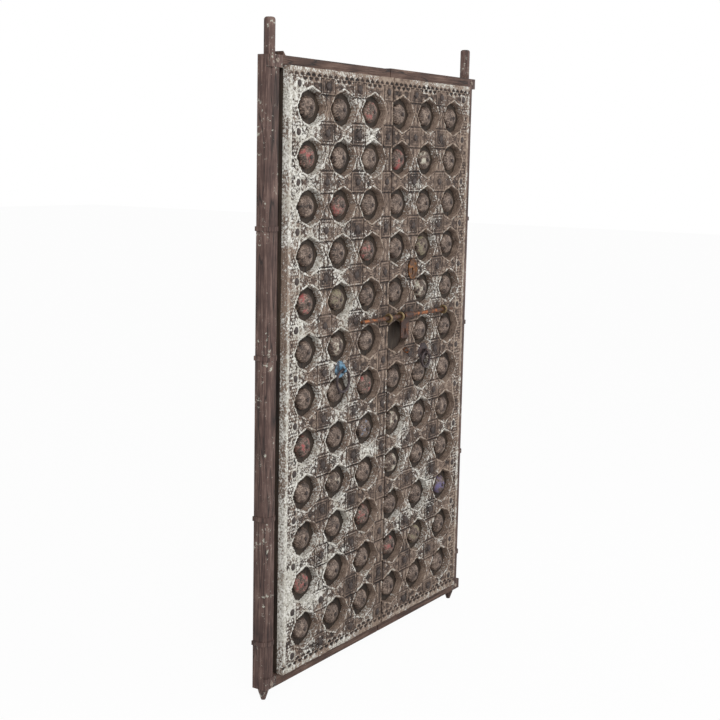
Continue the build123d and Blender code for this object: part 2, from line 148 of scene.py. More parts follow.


# %% [markdown]
# The carved bars are an oily hardwood, cut by hand and left out in the sun and rain. Their
# soft grain has washed out into furrows, and a pale oil paint still holds on the high carving
# and in sheltered places. The mesh says how high each point stands and how much paint it
# has kept, and noise of 2 to 8 mm breaks the edge of each flake. The height also paints
# light into the bare wood: it turns almost black in the carved hollows as painted shade, and
# pale on the high carving as a painted highlight.

# %% Carved hardwood with flaking paint
def carved_hardwood(grain):
    def build(tree, shader):
        place = put(tree, "ShaderNodeTexCoord").outputs["Object"]
        along = put(tree, "ShaderNodeMapping", {"Vector": place, "Scale": grain}).outputs[0]
        kept = put(tree, "ShaderNodeAttribute", attribute_name="paint").outputs["Fac"]
        relief_shade_level = put(tree, "ShaderNodeAttribute", attribute_name="height").outputs["Fac"]
        furrow = put(tree, "ShaderNodeTexNoise", {
            "Vector": along, "Scale": 1 / (5 * MM), "Detail": 6.0, "Roughness": 0.7}).outputs["Fac"]
        patch = put(tree, "ShaderNodeTexNoise", {
            "Vector": place, "Scale": 1 / (60 * MM), "Detail": 3.0, "Roughness": 0.65}).outputs["Fac"]
        flake = put(tree, "ShaderNodeTexNoise", {
            "Vector": place, "Scale": 1 / (7 * MM), "Detail": 6.0, "Roughness": 0.75}).outputs["Fac"]
        speck = put(tree, "ShaderNodeTexNoise", {
            "Vector": place, "Scale": 1 / (3 * MM), "Detail": 4.0, "Roughness": 0.75}).outputs["Fac"]
        tone = put(tree, "ShaderNodeMath", {0: patch, 1: 0.3}, operation="MULTIPLY").outputs[0]
        tone = put(tree, "ShaderNodeMath", {0: furrow, 1: 0.5, 2: tone}, operation="MULTIPLY_ADD").outputs[0]
        # Painted shade and highlight: the bare wood darkens in the carved hollows and pales on the high relief.
        tone = put(tree, "ShaderNodeMath", {0: relief_shade_level, 1: 0.5, 2: tone}, operation="MULTIPLY_ADD").outputs[0]
        wood = put(tree, "ShaderNodeValToRGB", {"Fac": tone}, stops=(
            (0.38, "#150f0c"), (0.52, "#4d3e36"), (0.66, "#877466"), (0.86, "#b3a393"))).outputs["Color"]
        lift = put(tree, "ShaderNodeMath", {0: speck, 1: 0.9}, operation="MULTIPLY").outputs[0]
        lift = put(tree, "ShaderNodeMath", {0: flake, 1: 1.5, 2: lift}, operation="MULTIPLY_ADD").outputs[0]
        lift = put(tree, "ShaderNodeMath", {0: kept, 1: lift}, operation="ADD").outputs[0]
        cover = put(tree, "ShaderNodeMapRange", {"Value": lift, "From Min": 1.76, "From Max": 1.80}).outputs[0]
        coat = put(tree, "ShaderNodeValToRGB", {"Fac": flake}, stops=(
            (0.35, "#8c8478"), (0.48, "#c6c3b9"), (0.60, "#ebe9e3"))).outputs["Color"]
        dusty = put(tree, "ShaderNodeMapRange", {"Value": patch, "From Min": 0.5, "From Max": 0.8}).outputs[0]
        coat = put(tree, "ShaderNodeMix", {0: dusty, 6: coat, 7: "#b3ada0"}, data_type="RGBA").outputs[2]
        shader.inputs["Roughness"].default_value = 0.8
        height = put(tree, "ShaderNodeMath", {0: furrow, 1: speck}, operation="ADD").outputs[0]
        height = put(tree, "ShaderNodeMath", {0: cover, 1: 0.5, 2: height}, operation="MULTIPLY_ADD").outputs[0]
        colour = put(tree, "ShaderNodeMix", {0: cover, 6: wood, 7: coat}, data_type="RGBA").outputs[2]
        return colour, height, 1.4
    return build


upright_wood = finish_with("carved_hardwood_upright", carved_hardwood((1.0, 1.0, 0.15)))
cross_wood = finish_with("carved_hardwood_cross", carved_hardwood((0.15, 1.0, 1.0)))

# %% [markdown]
# Posts, rails and boards are the same timber left bare: a plane took them flat, and a
# century of hands and weather opened long cracks along the grain. Stretching the noise
# along one axis draws the grain, and a thin band of a wider noise draws the cracks. The
# backing boards get a much darker copy of the timber, painted shade for their place at the
# bottom of the pockets.

# %% Bare weathered timber
def bare_timber(grain, dark, middle, pale, paint=0.0):
    def build(tree, shader):
        place = put(tree, "ShaderNodeTexCoord").outputs["Object"]
        along = put(tree, "ShaderNodeMapping", {"Vector": place, "Scale": grain}).outputs[0]
        furrow = put(tree, "ShaderNodeTexNoise", {
            "Vector": along, "Scale": 1 / (7 * MM), "Detail": 8.0, "Roughness": 0.7}).outputs["Fac"]
        patch = put(tree, "ShaderNodeTexNoise", {
            "Vector": place, "Scale": 1 / (130 * MM), "Detail": 4.0, "Roughness": 0.65}).outputs["Fac"]
        split = put(tree, "ShaderNodeTexNoise", {
            "Vector": along, "Scale": 1 / (26 * MM), "Detail": 2.0, "Roughness": 0.5}).outputs["Fac"]
        split = put(tree, "ShaderNodeMath", {0: split, 1: 0.5}, operation="SUBTRACT").outputs[0]
        split = put(tree, "ShaderNodeMath", {0: split}, operation="ABSOLUTE").outputs[0]
        crack = put(tree, "ShaderNodeMapRange", {"Value": split, "From Min": 0.0, "From Max": 0.018}).outputs[0]
        tone = put(tree, "ShaderNodeMath", {0: patch, 1: 0.35}, operation="MULTIPLY").outputs[0]
        tone = put(tree, "ShaderNodeMath", {0: furrow, 1: 0.65, 2: tone}, operation="MULTIPLY_ADD").outputs[0]
        stops = ((0.34, dark), (0.5, middle), (0.68, pale))
        wood = put(tree, "ShaderNodeValToRGB", {"Fac": tone}, stops=stops).outputs["Color"]
        wood = put(tree, "ShaderNodeMix", {0: crack, 6: "#1b1310", 7: wood}, data_type="RGBA").outputs[2]
        flake = put(tree, "ShaderNodeTexNoise", {
            "Vector": place, "Scale": 1 / (14 * MM), "Detail": 6.0, "Roughness": 0.75}).outputs["Fac"]
        kept = put(tree, "ShaderNodeMath", {0: patch, 1: 0.5}, operation="MULTIPLY").outputs[0]
        kept = put(tree, "ShaderNodeMath", {0: flake, 1: 0.7, 2: kept}, operation="MULTIPLY_ADD").outputs[0]
        cover = put(tree, "ShaderNodeMapRange", {
            "Value": kept, "From Min": 0.80 - paint, "From Max": 0.83 - paint}).outputs[0]
        wood = put(tree, "ShaderNodeMix", {0: cover, 6: wood, 7: "#b4b3a6"}, data_type="RGBA").outputs[2]
        shader.inputs["Roughness"].default_value = 0.72
        height = put(tree, "ShaderNodeMath", {0: crack, 1: 0.8, 2: furrow}, operation="MULTIPLY_ADD").outputs[0]
        return wood, height, 1.3
    return build


post_wood = finish_with("worn_post_timber", bare_timber((1, 1, 0.06), "#1e1210", "#523d37", "#8e766c", 0.11))
rail_wood = finish_with("worn_rail_timber", bare_timber((0.06, 1, 1), "#1f1310", "#50392f", "#846c5f"))
# The backing boards' darker colours are painted shade for the deep pockets.
shaded_plank_wood = finish_with("sawn_backing_plank", bare_timber((1, 1, 0.06), "#130e0b", "#33281f", "#544536"))
peg_wood = finish_with("end_grain_peg", bare_timber((1, 1, 1), "#5d4e45", "#8d7d71", "#b9aca0"))

# %% [markdown]
# Each boss was turned, set in its pocket and painted; most of the colour has gone.
# The mesh carries the colour that each boss had, and how much of it is left.

# %% Turned boss wood
def boss_finish(tree, shader):
    place = put(tree, "ShaderNodeTexCoord").outputs["Object"]
    around = put(tree, "ShaderNodeMapping", {"Vector": place, "Scale": (1.0, 0.3, 1.0)}).outputs[0]
    kept = put(tree, "ShaderNodeAttribute", attribute_name="paint").outputs["Fac"]
    coat = put(tree, "ShaderNodeAttribute", attribute_name="coat").outputs["Color"]
    grain = put(tree, "ShaderNodeTexNoise", {
        "Vector": around, "Scale": 1 / (4 * MM), "Detail": 6.0, "Roughness": 0.7}).outputs["Fac"]
    patch = put(tree, "ShaderNodeTexNoise", {
        "Vector": place, "Scale": 1 / (22 * MM), "Detail": 4.0, "Roughness": 0.65}).outputs["Fac"]
    speck = put(tree, "ShaderNodeTexNoise", {
        "Vector": place, "Scale": 1 / (2.5 * MM), "Detail": 4.0, "Roughness": 0.7}).outputs["Fac"]
    tone = put(tree, "ShaderNodeMath", {0: patch, 1: 0.4}, operation="MULTIPLY").outputs[0]
    tone = put(tree, "ShaderNodeMath", {0: grain, 1: 0.6, 2: tone}, operation="MULTIPLY_ADD").outputs[0]
    wood = put(tree, "ShaderNodeValToRGB", {"Fac": tone}, stops=(
        (0.40, "#1a1310"), (0.5, "#5d4c42"), (0.60, "#a39183"))).outputs["Color"]
    worn_off = put(tree, "ShaderNodeMath", {0: speck, 1: 0.8}, operation="MULTIPLY").outputs[0]
    worn_off = put(tree, "ShaderNodeMath", {0: patch, 1: 1.2, 2: worn_off}, operation="MULTIPLY_ADD").outputs[0]
    worn_off = put(tree, "ShaderNodeMath", {0: kept, 1: worn_off}, operation="ADD").outputs[0]
    cover = put(tree, "ShaderNodeMapRange", {"Value": worn_off, "From Min": 1.56, "From Max": 1.64}).outputs[0]
    grime = put(tree, "ShaderNodeMath", {0: grain, 1: 0.35}, operation="MULTIPLY").outputs[0]
    shade = put(tree, "ShaderNodeMix", {0: grime, 6: coat, 7: "#4a3a33"}, data_type="RGBA").outputs[2]
    shader.inputs["Roughness"].default_value = 0.6
    colour = put(tree, "ShaderNodeMix", {0: cover, 6: wood, 7: shade}, data_type="RGBA").outputs[2]
    return colour, put(tree, "ShaderNodeMath", {0: grain, 1: speck}, operation="ADD").outputs[0], 1.2


boss_wood = finish_with("turned_boss_wood", boss_finish)

# %% [markdown]
# The iron was forged by hand, so it is pitted and dull. Nails and pulls are nearly black;
# the bolt is rubbed bright where it slides, with orange rust beside it.

# %% Forged iron
def forged_iron(dark, pale, rust, share, rough, metal):
    def build(tree, shader):
        place = put(tree, "ShaderNodeTexCoord").outputs["Object"]
        patch = put(tree, "ShaderNodeTexNoise", {
            "Vector": place, "Scale": 1 / (16 * MM), "Detail": 5.0, "Roughness": 0.7}).outputs["Fac"]
        pit = put(tree, "ShaderNodeTexNoise", {
            "Vector": place, "Scale": 1 / (2.5 * MM), "Detail": 4.0, "Roughness": 0.7}).outputs["Fac"]
        value = put(tree, "ShaderNodeMath", {0: pit, 1: 0.25}, operation="MULTIPLY").outputs[0]
        value = put(tree, "ShaderNodeMath", {0: patch, 1: 0.75, 2: value}, operation="MULTIPLY_ADD").outputs[0]
        beaten = put(tree, "ShaderNodeMapRange", {"Value": pit, "From Min": 0.35, "From Max": 0.65}).outputs[0]
        colour = put(tree, "ShaderNodeMix", {0: beaten, 6: dark, 7: pale}, data_type="RGBA").outputs[2]
        rusted = put(tree, "ShaderNodeMapRange", {
            "Value": value, "From Min": share, "From Max": share + 0.08}).outputs[0]
        colour = put(tree, "ShaderNodeMix", {0: rusted, 6: colour, 7: rust}, data_type="RGBA").outputs[2]
        shader.inputs["Metallic"].default_value = metal
        shader.inputs["Roughness"].default_value = rough
        return colour, value, 1.0
    return build


nail_iron = finish_with("hammered_nail_iron", forged_iron("#241d1c", "#4d423e", "#5d4a40", 0.55, 0.55, 0.3))
rod_iron = finish_with("rusted_rod_iron", forged_iron("#2b1f1b", "#5d4334", "#a5602f", 0.5, 0.45, 0.45))
hasp_iron = finish_with("rusted_hasp_iron", forged_iron("#2a1b16", "#4a3128", "#70452c", 0.52, 0.5, 0.35))
ring_iron = finish_with("rubbed_ring_iron", forged_iron("#4b3d2c", "#a08a63", "#8a5a30", 0.56, 0.4, 0.5))
pull_iron = finish_with("dark_pull_iron", forged_iron("#231c1e", "#4f4344", "#6a5751", 0.55, 0.45, 0.4))
blue_iron = finish_with("blue_painted_iron", forged_iron("#2c2a30", "#4c4e58", "#6f97b0", 0.47, 0.5, 0.2))
key_iron = finish_with("rusted_key_iron", forged_iron("#33241c", "#6b4c38", "#93602f", 0.5, 0.5, 0.4))

# %% [markdown]
# The camera and light come before the carving, so that each new piece can be looked at.
# The camera was fitted to the corners of the leaf frame and the grid of bosses in the
# photograph. It stands to the left of the door, a little above its middle.

# %% Camera
camera = bpy.data.objects.new("camera", bpy.data.cameras.new("camera"))
bpy.context.collection.objects.link(camera)
camera.location = (-3.1396, -2.3564, 1.6446)
camera.rotation_euler = [math.radians(angle) for angle in (81.318, -1.16, -57.076)]
camera.data.sensor_width = 36
camera.data.lens = 65.31
bpy.context.scene.camera = camera
print("camera", tuple(camera.location), "lens", camera.data.lens)

# %% [markdown]
# The studio is a plain white sweep: rays from the camera see white, while the floor
# still takes a part of the object's shadow. One wide lamp stands to the front and left, a
# weaker one fills from the right, and the world gives the rest.

# %% Floor and world
floor_z = cad_low[2]
bpy.ops.mesh.primitive_plane_add(size=60, location=(0, 0, floor_z))
floor = bpy.context.object
floor.name = "studio_floor"
floor_paint = bpy.data.materials.new("matt_white_floor")
floor_paint.use_nodes = True
tree = floor_paint.node_tree
tree.nodes.clear()
seen = put(tree, "ShaderNodeLightPath").outputs["Is Camera Ray"]
matt = put(tree, "ShaderNodeBsdfDiffuse", {"Color": linear("#e9e9e9")})
glow = put(tree, "ShaderNodeEmission", {"Color": (1, 1, 1, 1), "Strength": 1.0})
share = put(tree, "ShaderNodeMath", {0: seen, 1: 0.96}, operation="MULTIPLY").outputs[0]
blend = put(tree, "ShaderNodeMixShader", {0: share, 1: matt.outputs[0], 2: glow.outputs[0]})
put(tree, "ShaderNodeOutputMaterial", {"Surface": blend.outputs[0]})
floor.data.materials.append(floor_paint)

world = bpy.data.worlds.new("studio")
bpy.context.scene.world = world
world.use_nodes = True
tree = world.node_tree
tree.nodes.clear()
path = put(tree, "ShaderNodeLightPath")
rays = {0: path.outputs["Is Camera Ray"], 1: path.outputs["Is Glossy Ray"]}
seen = put(tree, "ShaderNodeMath", rays, operation="MAXIMUM").outputs[0]
light = put(tree, "ShaderNodeBackground", {"Color": (1, 1, 1, 1), "Strength": 0.5})
white = put(tree, "ShaderNodeBackground", {"Color": (1, 1, 1, 1), "Strength": 1.0})
blend = put(tree, "ShaderNodeMixShader", {0: seen, 1: light.outputs[0], 2: white.outputs[0]})
put(tree, "ShaderNodeOutputWorld", {"Surface": blend.outputs[0]})
bpy.context.scene.view_settings.view_transform = "Standard"
print("floor at", round(floor_z, 4))

# %% [markdown]
# A door stands in the open or in a gateway, so its light is broad. Two square lamps do for
# the sky: a wide one rakes over the carving, and a weaker one keeps the right leaf readable.

# %% Lamps
middle = (Vector(cad_low) + Vector(cad_high)) / 2
for name, place, size, power in (
    ("key", (-2.6, -2.8, 3.6), 1.6, 120),
    ("fill", (2.6, -3.4, 1.8), 2.4, 45),
):
    lamp = bpy.data.objects.new(name, bpy.data.lights.new(name, "AREA"))
    lamp.data.size, lamp.data.energy = size, power
    lamp.location = place
    lamp.rotation_euler = (middle - Vector(place)).to_track_quat("-Z", "Y").to_euler()
    bpy.context.collection.objects.link(lamp)
    print("lamp", name, power, "W")

# %% [markdown]
# Carving is a surface whose height depends on its place. Rather than modelling each leaf
# by hand, one function gives the height of the wood at any point, from the few motifs that
# the carver repeats. Random lumps, smooth over a few millimetres, stand for the wear.

# %% Smooth random values
lumps = np.random.default_rng(7).random((256, 256))


def wear(a, b, size):
    """Smooth random values from 0 to 1 over a plane, in lumps of this size in metres."""
    p, q = a / size + 40.0, b / size + 40.0
    i, j = np.floor(p).astype(int), np.floor(q).astype(int)
    s, t = p - i, q - j
    s, t = s * s * (3 - 2 * s), t * t * (3 - 2 * t)
    low = lumps[i % 256, j % 256] * (1 - s) + lumps[(i + 1) % 256, j % 256] * s
    high = lumps[i % 256, (j + 1) % 256] * (1 - s) + lumps[(i + 1) % 256, (j + 1) % 256] * s
    return low * (1 - t) + high * t


def ridge(distance, width):
    return np.exp(-((distance / width) ** 2))


# %% [markdown]
# The motifs: two raised frames and a small rosette round each nail, a veined leaf along
# each neck, scrolls beside it, a row of beads along every edge that faces a pocket, and
# rows of triangular pits between plain fillets along the outside. Heights are in millimetres.

# %% Frames round the nails
def nail_block(u, v, half_u, half_v):
    size = min(half_u, half_v)
    box = np.maximum(np.abs(u) / half_u, np.abs(v) / half_v) * size
    inside = box < size * 0.98
    radius, angle = np.hypot(u, v), np.arctan2(v, u)
    petals = (0.5 + 0.5 * np.cos(8 * angle)) * ridge(radius - 14.5 * MM, 3 * MM)
    frames = 2.6 * ridge(box - size * 0.82, 2.2 * MM) + 2.0 * ridge(box - size * 0.58, 1.8 * MM)
    return (frames + 1.6 * petals - 2.4) * inside - 4.0 * ridge(box - size, 1.8 * MM)


# %% [markdown]
# Leaves, scrolls and beads were cut with a few gouges, each sweep of one width. A bell
# curve across the stroke gives the same round ridge, and a cosine along it the veins.

# %% Leaves, scrolls and beads
def veined_leaf(along, across, start, length, half):
    t = np.clip((np.abs(along) - start) / length, 0, 1)
    width = half * np.sqrt(np.sin(np.pi * t)) + 1e-6
    body = np.clip(1 - (across / width) ** 2, 0, 1)
    veins = 0.65 + 0.45 * np.cos((np.abs(along) + 1.2 * np.abs(across)) * 2 * np.pi / (7 * MM))
    return 3.4 * body * veins - 1.5 * ridge(across, 1.1 * MM) * (body > 0.2)


def scrolls(along, across, centre_a, centre_c, radius):
    d = np.hypot(np.abs(along) - centre_a, np.abs(across) - centre_c)
    return 2.4 * ridge(d - radius, 1.8 * MM) + 2.4 * ridge(d, 2.2 * MM)


def edge_beads(edge, run):
    beads = 0.45 + 0.55 * np.abs(np.sin(run * np.pi / (10 * MM)))
    return 3.0 * beads * ridge(edge - 4.5 * MM, 2.8 * MM) - 1.6 * ridge(edge - 9.5 * MM, 1.3 * MM)


def bead_field(a, b, pitch):
    """Round beads on a staggered grid, some of them lost."""
    row = np.round(b / pitch)
    shift = 0.5 * (np.mod(row, 2))
    column = np.round(a / pitch - shift)
    d = np.hypot(a - (column + shift) * pitch, b - row * pitch)
    there = lumps[column.astype(int) % 256, row.astype(int) % 256] > 0.25
    return 3.2 * there * np.clip(1 - (d / (0.46 * pitch)) ** 2, 0, 1) - 1.6


def pitted_strip(across, run, rows_at):
    height = 0.4 * np.ones_like(across)
    for k, row in enumerate(rows_at):
        t = np.mod(run / (30 * MM) + 0.5 * k, 1.0)
        reach = 9 * MM * (1 - np.abs(2 * t - 1)) - 2.0 * MM
        side = (across - row) * (1 if k % 2 else -1)
        height = height - 4.0 * ((side > -5 * MM) & (side < reach) & (np.abs(2 * t - 1) < 0.75))
    return height


# %% [markdown]
# Paint is not spread evenly: it is thickest on the left leaf and low down, where the sun
# reached least, and it is rubbed away round the bolt and the pulls.

# %% Where paint and height are kept
def paint_kept(x, z):
    s = (x - cad_low[0]) / (cad_high[0] - cad_low[0])
    share = 0.44 + 0.15 * ridge(s - 0.08, 0.10) + 0.07 * ridge(s - 0.33, 0.14)
    share = share - 0.16 * ridge(s - 0.515, 0.06) - 0.05 * ridge(s - 0.93, 0.06)
    share = share - 0.10 * ridge(s - 0.6, 0.18) * ridge(z - 1.08, 0.16) + 0.06 * ridge(z - 0.4, 0.35)
    return share + 0.40 * (wear(x, z, 0.13) - 0.5) + 0.30 * (wear(x + 3, z, 0.04) - 0.5)


def worn(height, x, z):
    keep = 0.45 + 0.75 * wear(x, z, 0.06)
    rough = 1.3 * (wear(x, z, 0.005) - 0.5) + 1.2 * (wear(x + 1, z, 0.014) - 0.5)
    return np.clip(height * np.clip(keep, 0.3, 1.05) + rough, -5.0, 2.4)


# %% [markdown]
# Each bar is a loft: at every step along it there is one section, a closed loop of points.
# Its edges draw in to a neck beside each pocket, with the small cusps that the gouge left,
# so the grid follows the edge of the wood instead of cutting across it.

# %% Outline of the necks
def nearest(values, places):
    places = np.asarray(places)
    return places[np.abs(values[:, None] - places[None, :]).argmin(axis=1)]


def notch(distance, half, depth):
    """How far a bar's edge is cut back at this distance from a pocket's middle."""
    near = np.clip(1 - np.abs(distance) / half, 0, 1)
    cusps = 2.6 * MM * np.abs(np.sin(np.abs(distance) * np.pi / (10 * MM)))
    return near * depth + cusps * np.clip(near * 8, 0, 1)


def stations(low, high, edges):
    """Steps along a bar, with a pair of close ones at each sudden change."""
    even = np.linspace(low, high, int((high - low) / (2.6 * MM)) + 1)
    pairs = [e + d for e in edges for d in (-0.06 * MM, 0.06 * MM) if low < e + d < high]
    return np.unique(np.concatenate([even, pairs]))


# %% [markdown]
# A bar was sawn first and carved after. The loft follows that order: the sawn outline sets
# the sides and back of each section, and the carved height moves only its front points.

# %% Loft a bar
def loft(name, material, run, low, high, front, back, height, lying):
    """Joins the sections of a bar. It stands, or with lying it runs from left to right."""
    steps = height.shape[1]
    across = low[:, None] + (high - low)[:, None] * np.linspace(0, 1, steps)[None, :]
    across[:, 0] += 1.2 * MM
    across[:, -1] -= 1.2 * MM
    depth = front[:, None] - height * MM
    low, high, back = low[:, None], high[:, None], back[:, None] + 0 * front[:, None]
    near_low, near_high = depth[:, :1] + 2 * MM, depth[:, -1:] + 2 * MM
    near_low, near_high = np.minimum(near_low, back), np.minimum(near_high, back)
    a = np.concatenate([across, high, high, low, low], axis=1)
    d = np.concatenate([depth, near_high, back, back, near_low], axis=1)
    r = np.repeat(run[:, None], steps + 4, axis=1)
    x, z = (r, a) if lying else (a, r)
    count, loop = a.shape
    i, j = np.meshgrid(np.arange(count - 1), np.arange(loop), indexing="ij")
    p, q = i * loop + j, i * loop + (j + 1) % loop
    quads = np.stack([p, q, q + loop, p + loop], axis=2).reshape(-1, 4)
    first, last = np.arange(loop)[::-1], (count - 1) * loop + np.arange(loop)
    faces = quads.tolist() + [first.tolist(), last.tolist()]
    if lying:
        faces = [face[::-1] for face in faces]
    mesh = bpy.data.meshes.new(name)
    mesh.from_pydata(np.stack([x, d, z], axis=2).reshape(-1, 3).tolist(), [], faces)
    # The relief level goes to the colour as painted shade in the hollows and painted highlight on the high
    # carving, and raises the paint kept on the high carving.
    relief_shade_level = np.concatenate([np.clip(height / 5 + 0.5, 0, 1), np.full((count, 4), 0.45)], axis=1)
    for label, values in (("height", relief_shade_level), ("paint", paint_kept(x, z) + 0.6 * (relief_shade_level - 0.5))):
        layer = mesh.attributes.new(label, "FLOAT", "POINT")
        layer.data.foreach_set("value", values.reshape(-1).astype(np.float32))
    mesh.materials.append(material)
    mesh.polygons.foreach_set("use_smooth", [True] * len(mesh.polygons))
    mesh.set_sharp_from_angle(angle=math.radians(50))
    piece = bpy.data.objects.new(name, mesh)
    bpy.context.collection.objects.link(piece)
    return piece


def dress(piece, slot, *hidden, body="door"):
    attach(piece, body)
    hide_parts(*hidden)
    return piece


# %% [markdown]
# The inner uprights run the full height in front of the cross bars, halved over them at the
# back. The border uprights hide the ends of the cross bars, so they are drawn in full depth.
# Each block between two pockets holds a nail; the outer edge of the door is a plain fillet.

# %% Carve the uprights
upright_plan = [("left_upright_1", columns[0] - border_nail, "low")]
upright_plan += [(f"left_upright_{i + 2}", columns[i] + column_pitch / 2, "") for i in range(2)]
upright_plan += [("left_upright_4", columns[2] + column_pitch / 2, "meeting")]
upright_plan += [(f"right_upright_{i + 1}", columns[3 + i] + column_pitch / 2, "") for i in range(2)]
upright_plan += [("right_upright_3", columns[5] + border_nail, "high")]
cross_boxes = [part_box(f"left_cross_bar_{i + 1}") for i in range(rows + 1)]
cross_spans = [(low[2], high[2]) for low, high in cross_boxes]
across_steps = 27


def carve_upright(node, nail_x, border):
    box_low, box_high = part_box(node)
    z = stations(box_low[2], box_high[2], [edge for span in cross_spans for edge in span])
    crossing = nearest(z, crossings)
    from_row, from_crossing = z - nearest(z, row_heights), z - crossing
    low, high = np.full_like(z, box_low[0]), np.full_like(z, box_high[0])
    if border != "low":
        low = low + notch(from_row, pocket_h, notch_x)
    if border in ("", "low"):
        high = high - notch(from_row, pocket_h, notch_x)
    if border == "meeting":
        high = high - 2.5 * MM * wear(z, z * 0, 0.02)
    x = low[:, None] + (high - low)[:, None] * np.linspace(0, 1, across_steps)
    zz, u = np.repeat(z[:, None], across_steps, axis=1), x - nail_x
    v, r = from_crossing[:, None] + 0 * x, from_row[:, None] + 0 * x
    half_u = min(upright_width / 2, box_high[0] - nail_x, nail_x - box_low[0])
    ends = np.isin(crossing, (crossings[0], crossings[-1]))[:, None]
    half_v = border_nail - pocket_h
    height = np.where(ends, nail_block(u, v, half_u, half_v), nail_block(u, v, half_u, cross_height / 2))
    edge = np.minimum(x - low[:, None], high[:, None] - x)
    neck = veined_leaf(r, u, 2 * MM, 34 * MM, 9 * MM) + scrolls(r, u, 28 * MM, 24 * MM, 6 * MM)
    neck = neck + edge_beads(edge, zz) - 1.6
    height = np.where((np.abs(r) < pocket_h) & (np.abs(v) > half_v), neck, height)
    if border in ("low", "high"):
        outer = (x - box_low[0]) if border == "low" else (box_high[0] - x)
        inner = (high[:, None] - x) if border == "low" else (x - low[:, None])
        field = bead_field(x, zz, 10 * MM) + edge_beads(inner, zz)
        height = np.where((np.hypot(u, v) > 17 * MM) | (np.abs(r) < pocket_h), field, 0.6)
        height = np.where(outer < 17 * MM, 0.8 - 2.5 * ridge(outer - 16 * MM, 1.2 * MM), height)
    outside = np.minimum(z - box_low[2], box_high[2] - z)[:, None] + 0 * x
    height = np.where(outside < 13 * MM, 0.6, height)
    pits = pitted_strip(outside, x, (20 * MM, 33 * MM))
    height = np.where((outside >= 13 * MM) & (outside < 30 * MM), pits, height)
    height = worn(height, x, zz)
    within = np.zeros_like(z, dtype=bool)
    for span_low, span_high in cross_spans:
        within |= (z > span_low) & (z < span_high)
    back = np.where(within & (border == ""), halving, board_front)
    piece = loft(node + "_carved", upright_wood, z, low, high, np.full_like(z, bar_front), back, height, False)
    return dress(piece, "carved_wood", node)


carved = [carve_upright(*plan) for plan in upright_plan]
print("uprights", len(carved), "faces", sum(len(piece.data.polygons) for piece in carved))

# %% [markdown]
# The cross bars run from left to right behind the uprights. Between them they stand as far
# forward, and carry an X of leaves with a floret where it crosses, above every boss.

# %% Carve the cross bars
upright_spans = [(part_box(plan[0])[0][0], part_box(plan[0])[1][0]) for plan in upright_plan]
leaf_insides = {
    "left": (upright_spans[0][1], upright_spans[3][0]),
    "right": (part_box("right_cross_bar_1")[0][0], upright_spans[6][0]),
}


def carve_cross(node, index):
    box_low, box_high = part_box(node)
    low_x, high_x = leaf_insides[node.split("_")[0]]
    x = stations(low_x, high_x, [edge for span in upright_spans for edge in span])
    from_column = x - nearest(x, columns)
    low, high = np.full_like(x, box_low[2]), np.full_like(x, box_high[2])
    if index > 0:
        low = low + notch(from_column, pocket_w, notch_z)
    if index < rows:
        high = high - notch(from_column, pocket_w, notch_z)
    z = low[:, None] + (high - low)[:, None] * np.linspace(0, 1, across_steps)
    xx = np.repeat(x[:, None], across_steps, axis=1)
    u, v = from_column[:, None] + 0 * z, z - crossings[index]
    edge = np.minimum(z - low[:, None], high[:, None] - z)
    cross = veined_leaf((u + v) * 0.707, (u - v) * 0.707, 6 * MM, 34 * MM, 7 * MM)
    cross = np.maximum(cross, veined_leaf((u - v) * 0.707, (u + v) * 0.707, 6 * MM, 34 * MM, 7 * MM))
    height = cross + scrolls(u, v, 38 * MM, 14 * MM, 6 * MM) + edge_beads(edge, xx)
    height = height + 2.4 * ridge(np.hypot(u, v) - 5 * MM, 2 * MM) - 1.6
    if index in (0, rows):
        outside = (z - box_low[2]) if index == 0 else (box_high[2] - z)
        height = np.where(outside < 13 * MM, 0.6, height)
        pits = pitted_strip(outside, xx, (20 * MM, 33 * MM))
        height = np.where((outside >= 13 * MM) & (outside < 42 * MM), pits, height)
    height = worn(height, xx, z)
    under = np.zeros_like(x, dtype=bool)
    for span_low, span_high in upright_spans:
        under |= (x > span_low) & (x < span_high)
    front = np.where(under, halving, bar_front)
    height = np.where(under[:, None], 0.0, height)
    back = np.full_like(x, board_front)
    piece = loft(node + "_carved", cross_wood, x, low, high, front, back, height, True)
    return dress(piece, "carved_wood", node)


crosses = [carve_cross(f"{side}_cross_bar_{i + 1}", i) for side in ("left", "right") for i in range(rows + 1)]
print("cross bars", len(crosses), "faces", sum(len(piece.data.polygons) for piece in crosses))

# %% [markdown]
# The bosses are domes, turned and then lightly fluted, one in each pocket. One is lost.
# They share one rule of shape, so one function makes them all as rings of points. Each
# has its own wear and its own faded colour, kept in the mesh for the material to read.

# %% Colours of the bosses
faded = {"red": "#a84f4f", "cream": "#cfcbb9", "blue": "#5590c0", "violet": "#6a628c", "olive": "#8a8768"}
plain_coat = "#8b7a6c"
coats = {
    (3, 1): "red", (1, 2): "red", (2, 3): "red", (4, 2): "red", (3, 4): "red", (1, 5): "red",
    (3, 7): "red", (1, 8): "red", (3, 10): "red", (1, 11): "red", (4, 11): "red", (2, 6): "cream",
    (4, 8): "cream", (2, 5): "olive", (2, 9): "cream", (4, 9): "cream", (5, 2): "cream",
    (5, 5): "cream", (3, 8): "blue", (6, 10): "violet", (5, 4): "olive", (5, 11): "olive",
}
lost_boss = (4, 6)
print("painted bosses", len(coats))

# %% [markdown]
# A lathe gives a boss its round profile and a gouge its shallow flutes. Rings of points,
# each a little smaller and further forward, are the same profile turned about its axis.

# %% Turn the bosses
boss_radius, boss_height, segments, rings = 35 * MM, 25 * MM, 48, 18


